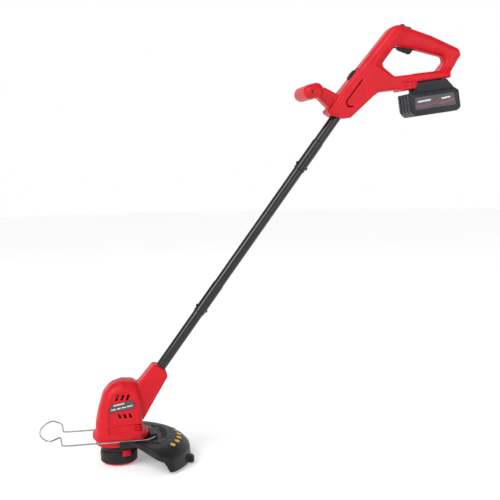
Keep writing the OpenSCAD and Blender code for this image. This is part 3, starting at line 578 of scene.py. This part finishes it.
DOME = outline(rounded([
    (-43, 40, 0), (-42.5, 78, 20), (-36, 108, 30), (-27, 137, 26), (-13, 154, 26), (8, 161.5, 30),
    (31, 159.5, 14), (40, 152, 9), (44, 120, 20), (46.5, 62, 0), (46.5, 40, 0)], 8))
NECK = outline(rounded([(34, 84, 3), (48, 84, 2), (96.5, 163, 3), (94.5, 173, 3), (77, 187, 3), (69, 187, 3),
                        (43, 157, 2), (34, 150, 3)]))
PANEL = outline(rounded([(-9.5, 137, 5), (31, 145.5, 2), (37, 88, 3), (-17, 83, 2), (-19.5, 102, 8)]))
LOWER_PANEL = outline(rounded([(-19.5, 77.5, 1.5), (27, 81, 1), (27, 67.5, 1), (-19, 65, 1.5)]))
NAMEPLATE = outline(rounded([(-19, 105, 1), (-11.5, 119.5, 2.5), (28.5, 127, 1), (32, 111, 1)]))
HEAD_SCREWS = ((-28, 78), (-27, 112), (2, 146), (34, 74), (84.1, 156.6))
DOME_Z, FLANGE_Z, RING_Z = 62, 48, 38
PRESSED = 2


def head_width(z):
    return 38 - 0.082 * np.maximum(z - DOME_Z, 0)


def side_depth(y, z):
    """How far a point is inside the head's leaning side face."""
    return head_width(z) - np.abs(y)


def vents(x, z):
    """Three slots leaning back over the nameplate and three leaning forward under it."""
    nearest = np.inf
    for i in range(3):
        for x0, z0, lean, tall in ((-5, 126.5, 0.36, 10), (2, 93, -0.4, 8.5)):
            across = np.abs(x - x0 - 10 * i - 2.2 - lean * (z - z0)) - 2.2
            nearest = np.minimum(nearest, slab(across, z - z0 - tall / 2, tall / 2, 0.8))
    return nearest


def dome_field(x, y, z):
    soft = 9 + 15 * ramp(-x, -22, 12)
    soft = soft + (20 - soft) * ramp(z, 118, 150)
    return slab(DOME(x, z), y, head_width(z), soft)


def head_field(x, y, z):
    """Both head shells: the dome, its foot flange, the neck and the hollow for the motor."""
    dome = dome_field(x, y, z)
    s, n = pole_frame(x, z)
    dome_cut = np.maximum(dome, FLANGE_Z - z)
    neck = slab(NECK(x, z), y, 17.8 - 3 * ramp(s, 222, 228) + 3 * ramp(-s, -175, -110), 3.2)
    flange = oval(x, y, -7.5, 16.5, 41.5 - 0.12 * np.maximum(z - 54, 0))
    rim = span(z, FLANGE_Z + 0.5, DOME_Z + 1, flange, 3.2)
    body = join(join(dome_cut, rim, 2.5), neck, 2.2)
    body = join(body, span(z, RING_Z, FLANGE_Z + 3, oval(x, y, -5, 4, 38), 1), 1.5)
    # Panels pressed into the sides
    depth = side_depth(y, z)
    body = cut(body, np.maximum(PANEL(x, z), depth - PRESSED), 0.7)
    body = cut(body, np.maximum(LOWER_PANEL(x, z), depth - PRESSED), 0.6)
    for z0 in (69.5, 74.5, 79.5):
        slot = slab(np.abs(z - z0) - 0.9, x - 35.5, 8, 0.6)
        body = cut(body, np.maximum(slot, depth - 2.2 - ramp(x, 34, 44) * 3), 0.5)
    # The hollow inside, with its bosses, motor seat and collar
    solid = np.maximum(np.hypot(n, y) - TUBE_R - 3, POLE_SEAT - s)
    inner = np.maximum(np.maximum(dome + WALL, WALL + PRESSED - depth), 64 - z)
    collar = np.maximum(np.abs(z - 99.5) - 1.5, -np.maximum(np.abs(x - 29) - 3, np.abs(y) - 10))
    inner = np.maximum(np.maximum(inner, -solid), -collar)
    for at in HEAD_SCREWS[:4]:
        inner = np.maximum(inner, 4.2 - np.hypot(x - at[0], z - at[1]))
    shaft = np.hypot(x, y)
    inner = np.minimum(inner, np.maximum(shaft - 19, np.abs(z - 91) - 27))
    inner = np.minimum(inner, np.maximum(shaft - 34, np.abs(z - 54.5) - 6.5))
    inner = np.minimum(inner, np.maximum(shaft - 14, np.abs(z - 64) - 6))
    inner = np.minimum(inner, np.maximum(shaft - 8, np.abs(z - 46) - 10))
    inner = np.minimum(inner, np.maximum(shaft - 35.4, z - 44))
    shell = np.maximum(body, -inner)
    shell = np.maximum(shell, -np.maximum(np.hypot(n, y) - TUBE_R - TUBE_FIT, POLE_SEAT - s))
    shell = np.maximum(shell, -np.maximum(np.hypot(n, y) - TUBE_R + 1, 136 - s))
    shell = np.maximum(shell, -np.maximum(np.maximum(vents(x, z), depth - 6), -depth - 3))
    for at in HEAD_SCREWS:
        shell = np.maximum(shell, -screw_hole(x, y, z, at))
    return shell


def make_head():
    whole = moulding("head", head_field, (-52, -44, 35), (101, 44, 191), 0.9)
    names = ("head_shell_left", "head_shell_right")
    for obj, name in zip(parted(whole, head_field, names, (0, 0, 0), (0, 1, 0)), names):
        finish(obj, RED, "root", name)


def make_nameplate():
    """A plate with a few plain bars in place of its printing."""

    def field(x, y, z):
        depth = side_depth(y, z)
        plate = np.maximum(np.maximum(NAMEPLATE(x, z), depth - 1.2), 0.5 - depth)
        bars = np.inf
        for x0, x1, up in ((-8, 12, 10.5), (-13, -4, 3.2), (-2, 5, 3.2), (7, 15, 3.2), (17, 27, 3.2)):
            level = 106 + 0.17 * (x + 17.5) + up
            bars = np.minimum(bars, slab(np.abs(z - level) - 1.1, x - (x0 + x1) / 2, (x1 - x0) / 2, 0.4))
        return np.minimum(plate, np.maximum(np.maximum(bars, depth - 1), 0.2 - depth)), bars

    def near_side(x, y, z):
        return np.maximum(field(x, y, z)[0], y)

    obj = moulding("nameplate", near_side, (-22, -40, 100), (36, -28, 132), 0.5)
    finish(obj, PLATE, "root", "nameplate")
    ink_faces(obj, lambda x, y, z: field(x, y, z)[1] < 0.1, PALE_INK)


def ink_faces(obj, test, mat):
    """Gives the faces whose middle passes a test one more material."""
    index = np.zeros(len(obj.data.polygons), np.int32)
    obj.data.polygons.foreach_get("material_index", index)
    middle = np.zeros(len(index) * 3)
    obj.data.polygons.foreach_get("center", middle)
    index[test(*(middle.reshape(-1, 3) / MM).T)] = len(obj.data.materials)
    obj.data.materials.append(mat)
    obj.data.polygons.foreach_set("material_index", index)
    obj.data.update()


# ---- spool ----

SPOOL_R, SPOOL_TOP, CAP_SPLIT = 35, 36, 28
TAB_TURN, EYELET_TURN = math.radians(-66), math.radians(4)


def spun(x, y, angle):
    c, s = math.cos(angle), math.sin(angle)
    return x * c + y * s, y * c - x * s


def make_spool():
    def cap(x, y, z):
        shaft = np.hypot(x, y)
        d = span(z, 5.6, CAP_SPLIT - 0.05, np.abs(shaft - SPOOL_R + 1.3) - 1.3, 0.8)
        d = keep(d, (shaft + z - SPOOL_R - CAP_SPLIT + 2.2) * 0.7, 0.8)
        p, q = spun(x, y, TAB_TURN)
        d = np.maximum(d, -np.maximum(np.abs(q) - 9, 18 - z))
        p, q = spun(x, y, EYELET_TURN)
        d = np.maximum(d, 3.1 - np.hypot(q, z - 19))
        flutes = np.abs(((np.degrees(np.arctan2(y, x)) + 360) % 12) - 6) * shaft * math.pi / 180 - 0.7
        return cut(d, np.maximum(np.maximum(flutes, np.abs(z - 9.6) - 2.6), SPOOL_R - 0.5 - shaft), 0.3)

    def housing(x, y, z):
        shaft = np.hypot(x, y)
        d = span(z, 33, SPOOL_TOP, shaft - SPOOL_R + 1, 0.9)
        d = join(d, span(z, CAP_SPLIT + 0.1, 35, np.abs(shaft - 32.5) - 1.5, 0.4), 0.6)
        d = join(d, span(z, 22, 44, shaft - 7, 0.5), 0.6)
        p, q = spun(x, y, TAB_TURN)
        d = np.maximum(d, -np.maximum(np.maximum(np.abs(q) - 9, z - 31), 20 - np.abs(p)))
        return np.maximum(d, 2.5 - shaft)

    obj = moulding("spool_cap", cap, (-37, -37, 2), (37, 37, 31), 0.7)
    finish(obj, BLACK, "rotor", "spool_cap")
    obj = moulding("spool_housing", housing, (-36, -36, 20), (36, 36, 46), 0.8)
    finish(obj, BLACK, "rotor", "spool_housing")
    for word, turn in (("left", TAB_TURN), ("right", TAB_TURN + math.pi)):
        def tab(x, y, z):
            p, q = spun(x, y, turn)
            shaft = np.hypot(p, q)
            face = np.maximum(np.abs(q) - 8.6, np.abs(z - 24.5) - 6)
            plate = np.maximum(slab(face, shaft - 33.6, 1.2, 0.5), -p)
            face = np.maximum(np.abs(q) - 7, np.abs(z - 24) - 4.6)
            pad = np.maximum(slab(face, shaft - 34.2, 1, 0.6), -p)
            face = np.maximum(np.abs(q) - 5.6, np.abs(z - 24) - 3.6)
            bars = np.maximum(np.abs(((z - 1.1) % 2.8) - 1.4) - 0.55, face)
            bars = np.maximum(np.maximum(bars, np.abs(shaft - 34.8) - 0.8), -p)
            return join(join(plate, pad, 0.4), bars, 0.3)

        c, s = 33 * math.cos(turn), 33 * math.sin(turn)
        obj = moulding(f"release_tab_{word}", tab, (c - 11, s - 11, 17), (c + 11, s + 11, 32), 0.45)
        finish(obj, RED, f"tab_{word}", f"release_tab_{word}")
    base = rounded([
        (0.02, 0, 0), (20, 0, 20), (29, 0.9, 5), (32.3, 3.6, 1.5), (32.3, 7, 0.6), (12, 7, 0.5),
        (12, 19, 0.5), (27, 19, 0.5), (27, 20.6, 0.5), (7.4, 20.6, 0.3), (7.4, 3, 0.3), (0.02, 3, 0)], 4)
    finish(lathe("line_spool", base), RED, "bump_spool", "line_spool")
    turns = []
    for k in range(7):
        for r in (13.2, 15.6, 18, 20.4, 22.8):
            turns.append(lathe("turn", [(r + 1.1 * math.cos(t), 8.1 + 1.7 * k + 1.0 * math.sin(t))
                                        for t in np.arange(8) * math.pi / 4], segments=48))
    finish(joined("wound_line", turns), NYLON, "bump_spool", "wound_line")


# ---- guards ----

GUARD_R, GUARD_TOP = 138, 48
FAN_START, FAN_END = math.radians(-57), math.radians(72)
GUARD_SKIN = outline(rounded([
    (60, 48, 0), (119, 47.8, 40), (135.6, 28, 2.5), (138, 4, 0.6), (135.4, 4, 0.6), (133, 27.4, 1.5),
    (117.6, 45.3, 38), (60, 45.4, 0)], 8))
GUARD_SOLID = outline(rounded([(60, 48, 0), (119, 47.8, 40), (135.6, 28, 2.5), (138, 4, 0.6), (133, 4, 1),
                               (128, 28, 8), (60, 39, 0)], 8))
BLADE_TURN = math.radians(-19)


def guard_field(x, y, z):
    """The cutting guard: a fan of skirt and top plate, and the band that wraps the head's foot."""
    shaft = np.hypot(x, y)
    start = x * math.sin(FAN_START) - y * math.cos(FAN_START)
    end = y * math.cos(FAN_END) - x * math.sin(FAN_END)
    sides = keep(keep(start, end), 0.27 * x - 0.96 * y - 119.9, 8)
    skirt = keep(GUARD_SKIN(shaft, z), sides, 1.5)
    rim = keep(GUARD_SOLID(shaft, z), np.maximum(sides, -sides - 2.6), 1.0)
    ring = oval(x, y, 0, 30, 47.4)
    plan = join(np.maximum(shaft - 100, sides), np.maximum(ring, -x), 16)
    plate = span(z, GUARD_TOP - 2.6, GUARD_TOP, plan, 1)
    edge = span(z, 40, GUARD_TOP, np.maximum(np.maximum(plan, -plan - 2.6), shaft - 98), 1)
    lip = span(z, 39, 52, np.maximum(np.maximum(ring, -oval(x, y, 0, 30, 45.4)), np.maximum(-x, x - 30)), 0.8)
    band = span(z, 39, GUARD_TOP, np.maximum(ring, np.maximum(-x, x - 40)), 0.8)
    d = np.minimum(np.minimum(np.minimum(skirt, rim), np.minimum(plate, edge)), np.minimum(lip, band))
    # Raised ribs, the two bosses and a grille of shallow slots on the top
    turn = np.degrees(np.arctan2(y, x))
    arc = (np.abs(turn + 3) - 39) * 1.6
    d = join(d, span(z, 46, GUARD_TOP + 1.4, np.maximum(np.abs(shaft - 95.2) - 1.1, arc), 0.5), 0.6)
    inner_rib = np.maximum(np.abs(shaft - 79) - 0.9, np.abs(turn - 1) * 1.4 - 32)
    d = join(d, span(z, 46, GUARD_TOP + 0.8, inner_rib, 0.4), 0.6)
    slots = np.abs(((turn + 2) % 6) - 3) * 1.5 - 2.4
    slots = np.maximum(slots, np.maximum(np.abs(shaft - 87) - 5.5, np.abs(turn - 1) * 1.5 - 34))
    d = cut(d, np.maximum(slots, GUARD_TOP - 1.3 - z), 0.5)
    boss = np.hypot(x - 68, np.abs(y) - 52)
    d = join(d, span(z, 44, GUARD_TOP + 2, boss - 6, 0.8), 0.8)
    d = join(d, span(z, 46, GUARD_TOP + 0.7, np.abs(boss - 10) - 0.8, 0.4), 0.5)
    d = np.maximum(d, -np.maximum(boss - 2, GUARD_TOP - 4 - z))
    # The holder of the cutter blade
    p, q = spun(x, y, BLADE_TURN)
    holder = np.maximum(block(p, q, z, (130, -6.5, 3), (147, 6.5, 18), 2.6), (p + 0.9 * z - 158.5) * 0.74)
    d = join(d, holder, 3)
    d = np.maximum(d, -block(p, q, z, (123.5, -0.8, 5.8), (143.3, 0.8, 15.2), 0.1))
    # The lug that the wire's pins turn in
    d = join(d, block(x, y, z, (58.6, -22, 46), (73, 22, 55.5), 1.6), 1.2)
    d = np.maximum(d, -np.maximum(np.hypot(x - 68, z - 51.5) - 1.6, 12 - np.abs(y)))
    # Room for the head's foot, the wire's pins and the screws
    d = np.maximum(d, -np.maximum(oval(x, y, -5, 4, 38.2), 30 - z))
    d = np.maximum(d, -np.maximum(shaft - 39, np.abs(z - 37) - 7))
    hole = np.hypot(x - 49, np.abs(y) - 14)
    return np.maximum(d, -np.minimum(hole - 1.5, np.maximum(hole - 3.2, z - GUARD_TOP + 2.5)))


def make_guard():
    guard = moulding("cutting_guard", guard_field, (-3, -122, 1), (150, 136, 56), 1.1)
    finish(guard, BLACK, "root", "cutting_guard")
    dots = []
    profile = rounded([(0.02, -0.6, 0), (5, -0.6, 0), (5, 0.6, 0.2), (0.02, 0.6, 0)], 3)
    for i in range(6):
        turn = (Matrix.Rotation(math.radians(-32 + 10.8 * i), 4, "Z") @ Matrix.Translation((116, 0, 44.55))
                @ Matrix.Rotation(math.radians(22.6), 4, "Y"))
        disc = lathe("dot", profile, turn, 32)
        disc.data.materials.append(YELLOW)
        dots.append(disc)
    piece = joined("guard_dots", dots)
    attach(piece, "root")
    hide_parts("guard_dots")


# The wire's centre line on one side, from the loop's tip to the hinge pin
WIRE_ROUTE = [(-146, 0, 69), (-146, 12, 69), (-144, 26, 69), (-140, 41, 69), (-134, 55, 69), (-128, 64, 69),
        (-124, 65, 69), (-116, 55, 69), (-109, 44.5, 69), (-106.5, 43.6, 67), (-106, 43.5, 63),
        (-105.5, 43.5, 56), (-104.5, 43.5, 52.5), (-101, 43.5, 51.5), (-60, 43.5, 51.5), (-20, 43.5, 51.5),
        (20, 43.5, 51.5), (52, 43.5, 51.5), (56, 41.8, 51.5), (59, 38.5, 51.5), (65.5, 31.5, 51.5),
        (67.6, 28, 51.5), (68, 24, 51.5), (68, 13, 51.5)]


def make_wire():
    route = [(x, -y, z) for x, y, z in WIRE_ROUTE[:0:-1]] + WIRE_ROUTE
    curve = bpy.data.curves.new("wire_guard", "CURVE")
    curve.dimensions = "3D"
    curve.bevel_depth = 1.5 * MM
    curve.bevel_resolution = 5
    curve.use_fill_caps = True
    spline = curve.splines.new("NURBS")
    spline.points.add(len(route) - 1)
    for point, (x, y, z) in zip(spline.points, route):
        point.co = (x * MM, y * MM, z * MM, 1)
    spline.order_u = 3
    spline.use_endpoint_u = True
    spline.resolution_u = 4
    obj = bpy.data.objects.new("wire_guard_piece", curve)
    bpy.context.scene.collection.objects.link(obj)
    finish(obj, WIRE_STEEL, "plant_guard", "wire_guard")


# ---- battery ----

PACK_SPLIT = -42
PACK_SIDE = outline(rounded([(-32, -54, 6), (-32, -19.5, 3), (66, -20, 3), (72, -27, 5), (72, -60, 6),
                             (63, -65, 5), (-23, -65, 5)]))
PACK_FRAME = outline(rounded([(-26, -61, 6), (-26, -23.5, 5), (62, -22.5, 6), (70, -30, 5), (70, -57, 6),
                              (61, -62.5, 5), (-18, -62.5, 5)]))
PACK_INNER = outline([(-28, -51), (-28, -22), (68, -22), (69, -28), (69, -59), (63, -62.6), (-20.5, -62.6)])
PACK_LABEL = outline(rounded([(-22, -28.5, 2), (60, -28.5, 2), (62, -53.5, 2), (-23.5, -53.5, 2)]))
PACK_RISE = outline(rounded([(-11, -22, 0), (-11, -0.5, 1.5), (54, -0.5, 2), (69, -21, 2), (66, -24, 0)]))


def pack_field(u, y, v):
    """The battery's two case halves as one, in the rail's frame: u to the rear and v up."""
    body = slab(PACK_SIDE(u, v), y, 34, 4.5)
    border = PACK_FRAME(u, v)
    body = join(body, slab(border, y, 35, 2.2), 1)
    body = join(body, slab(np.abs(border + 2.6) - 1.1, y, 35.5, 0.6), 0.6)
    ribs = np.maximum(np.abs(((y + 72) % 16) - 8) - 2.6, np.maximum(u + 29.6, np.abs(v + 41) - 19))
    body = cut(body, ribs, 0.6)
    steps = np.minimum(np.abs(u + 29.2), np.abs(u - 71.4)) - 0.6
    body = cut(body, np.maximum(steps, 33.2 - np.abs(y)), 0.5)
    feet = np.maximum(np.abs(((u + 4) % 14) - 7) - 2.5, np.maximum(v + 64, np.abs(u - 20) - 38))
    body = cut(body, np.maximum(feet, np.abs(np.abs(y) - 24) - 5), 0.5)
    rise = slab(PACK_RISE(u, v), y, 22, 1.6)
    fins = np.maximum(np.abs(((u + 1) % 6) - 3) - 0.8, np.maximum(np.abs(v + 11) - 5, np.abs(u - 18) - 20))
    rise = cut(rise, np.maximum(fins, 21.2 - np.abs(y)), 0.4)
    body = join(body, rise, 1.5)
    body = np.maximum(body, -block(u, y, v, (-60, -14.35, -9.35), (48, 14.35, -4.15), 0.3))
    body = np.maximum(body, -block(u, y, v, (-60, -10.35, -12), (48, 10.35, 10), 0.3))
    slots = np.abs(np.abs(np.abs(y) - 3.5) - 3.5) - 1.6
    body = np.maximum(body, -np.maximum(slots, np.maximum(np.abs(v + 12) - 4, u - 20)))
    body = np.maximum(body, -block(u, y, v, (54.6, -12.35, -19.4), (80, 12.35, 5), 0.3))
    body = np.maximum(body, -slab(PACK_INNER(u, v), y, 32.7, 1))
    return np.maximum(body, -np.maximum(PACK_LABEL(u, v) - 0.1, 34.2 - np.abs(y)))


def on_rail(field):
    """The same field, placed on the handle's rail."""

    def placed(x, y, z):
        u, v = turned(x, z, RAIL_AT, RAIL_TILT)
        return field(u, y, v)

    return placed


def make_battery():
    whole = moulding("battery_case", on_rail(pack_field), (567, -38, 646), (692, 38, 732), 0.95)
    up = (-math.sin(RAIL_TILT), 0, math.cos(RAIL_TILT))
    split = [RAIL_AT[0] + PACK_SPLIT * up[0], 0, RAIL_AT[1] + PACK_SPLIT * up[2]]
    names = ("battery_case_lower", "battery_case_upper")
    lower, upper = parted(whole, on_rail(pack_field), names, split, up, 0.05)
    finish(upper, PACK, "battery", "battery_case_upper")
    finish(lower, PACK, "battery", "battery_case_lower")
    lines = (path([(-19, -47), (21, -45.5), (30, -34)]), 0.35), (path([(27, -46.5), (57, -42)]), 0.8)
    bars = (path([(-15, -38), (9, -37.2)]), 1.6), (path([(34, -37.5), (50, -36.6)]), 1.6)

    def label(u, y, v):
        return np.maximum(PACK_LABEL(u, v), np.abs(np.abs(y) - 34.65) - 0.35)

    def near(marks):
        def test(u, y, v):
            return np.minimum(*[mark(u, v) - half for mark, half in marks]) < 0

        return on_rail(test)

    obj = moulding("battery_labels", on_rail(label), (578, -37, 655), (682, 37, 702), 0.55)
    finish(obj, LABEL, "battery", "battery_labels")
    ink_faces(obj, near(lines), RED_INK)
    ink_faces(obj, near(bars), PALE_INK)

    def button(u, y, v):
        wedge = outline(rounded([(57.5, -4.7, 0.5), (60, -8, 2), (66.4, -16.5, 0.8), (57.5, -16.5, 0.3)]))
        d = slab(wedge(u, v), y, 12, 1)
        grooves = np.maximum(np.abs(((v + 100) % 2.4) - 1.2) - 0.45, np.abs(y) - 9)
        return cut(d, np.maximum(grooves, -wedge(u, v) - 0.8), 0.3)

    obj = moulding("battery_release_button", on_rail(button), (658, -14, 703), (676, 14, 728), 0.6)
    finish(obj, BLACK, "battery_button", "battery_release_button")


# ---- surroundings ----


def make_floor():
    mesh = bpy.data.meshes.new("floor")
    shape = bmesh.new()
    bmesh.ops.create_circle(shape, cap_ends=True, segments=96, radius=9)
    shape.to_mesh(mesh)
    shape.free()
    floor = bpy.data.objects.new("floor", mesh)
    bpy.context.scene.collection.objects.link(floor)
    pale = material("pale_floor", ((0.83, 0.83, 0.83), (0.86, 0.86, 0.86)), (0.7, 0.8), 0.1, 4.0, blotch=300)
    floor.data.materials.append(pale)
    shader = pale.node_tree.nodes["Principled BSDF"]
    shader.inputs["Emission Color"].default_value = (1, 1, 1, 1)
    shader.inputs["Emission Strength"].default_value = 0.3


LIGHT_AIM = Vector((0.3, 0, 0.4))


def make_light(name, at, size, power):
    """A square lamp at a point, turned to the middle of the trimmer."""
    data = bpy.data.lights.new(name, "AREA")
    data.size = size
    data.energy = power
    lamp = bpy.data.objects.new(name, data)
    bpy.context.scene.collection.objects.link(lamp)
    lamp.location = at
    lamp.rotation_euler = (LIGHT_AIM - lamp.location).to_track_quat("-Z", "Y").to_euler()


def make_lights():
    make_light("key", (-2.4, -1.8, 2.2), 1.6, 34)
    make_light("fill", (1.6, -2.8, 1.2), 1.6, 12)
    make_light("rim", (0.2, 2.2, 2.6), 2.2, 10)
    data = bpy.data.lights.new("overhead", "SUN")
    data.energy = 1.5
    data.angle = math.radians(40)
    lamp = bpy.data.objects.new("overhead", data)
    lamp.rotation_euler = (math.radians(28), math.radians(-30), 0)
    bpy.context.scene.collection.objects.link(lamp)
    world = bpy.data.worlds.new("studio")
    world.use_nodes = True
    tree = world.node_tree
    tree.nodes["Background"].inputs["Color"].default_value = (1, 1, 1, 1)
    place = tree.nodes.new("ShaderNodeTexCoord")
    split = tree.nodes.new("ShaderNodeSeparateXYZ")
    height = tree.nodes.new("ShaderNodeMapRange")
    height.inputs["From Min"].default_value = 0.22
    height.inputs["From Max"].default_value = 0.5
    height.inputs["To Min"].default_value = 1.0
    height.inputs["To Max"].default_value = 0.32
    tree.links.new(place.outputs["Generated"], split.inputs["Vector"])
    tree.links.new(split.outputs["Z"], height.inputs["Value"])
    tree.links.new(height.outputs["Result"], tree.nodes["Background"].inputs["Strength"])
    bpy.context.scene.world = world
    bpy.context.scene.view_settings.view_transform = "Standard"


def make_camera():
    data = bpy.data.cameras.new("camera")
    data.sensor_width = 36
    data.lens = 61.92
    camera = bpy.data.objects.new("camera", data)
    bpy.context.scene.collection.objects.link(camera)
    right, up = (0.98266, -0.18431, -0.02000), (0.03775, 0.09329, 0.99492)
    back, at = (-0.18151, -0.97843, 0.09863), (-0.0383, -1.6297, 0.5629)
    camera.matrix_world = Matrix([*zip(right, up, back, at), (0, 0, 0, 1)])
    bpy.context.scene.camera = camera


# ---- the whole model ----

make_camera()
make_handle()
make_trigger()
make_lock_off()
make_selector()
make_pole()
make_head()
make_nameplate()
make_spool()
make_guard()
make_wire()
make_battery()
for node, metal in CAD_FINISH.items():
    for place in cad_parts[node].material_slots:
        place.material = metal
make_floor()
make_lights()
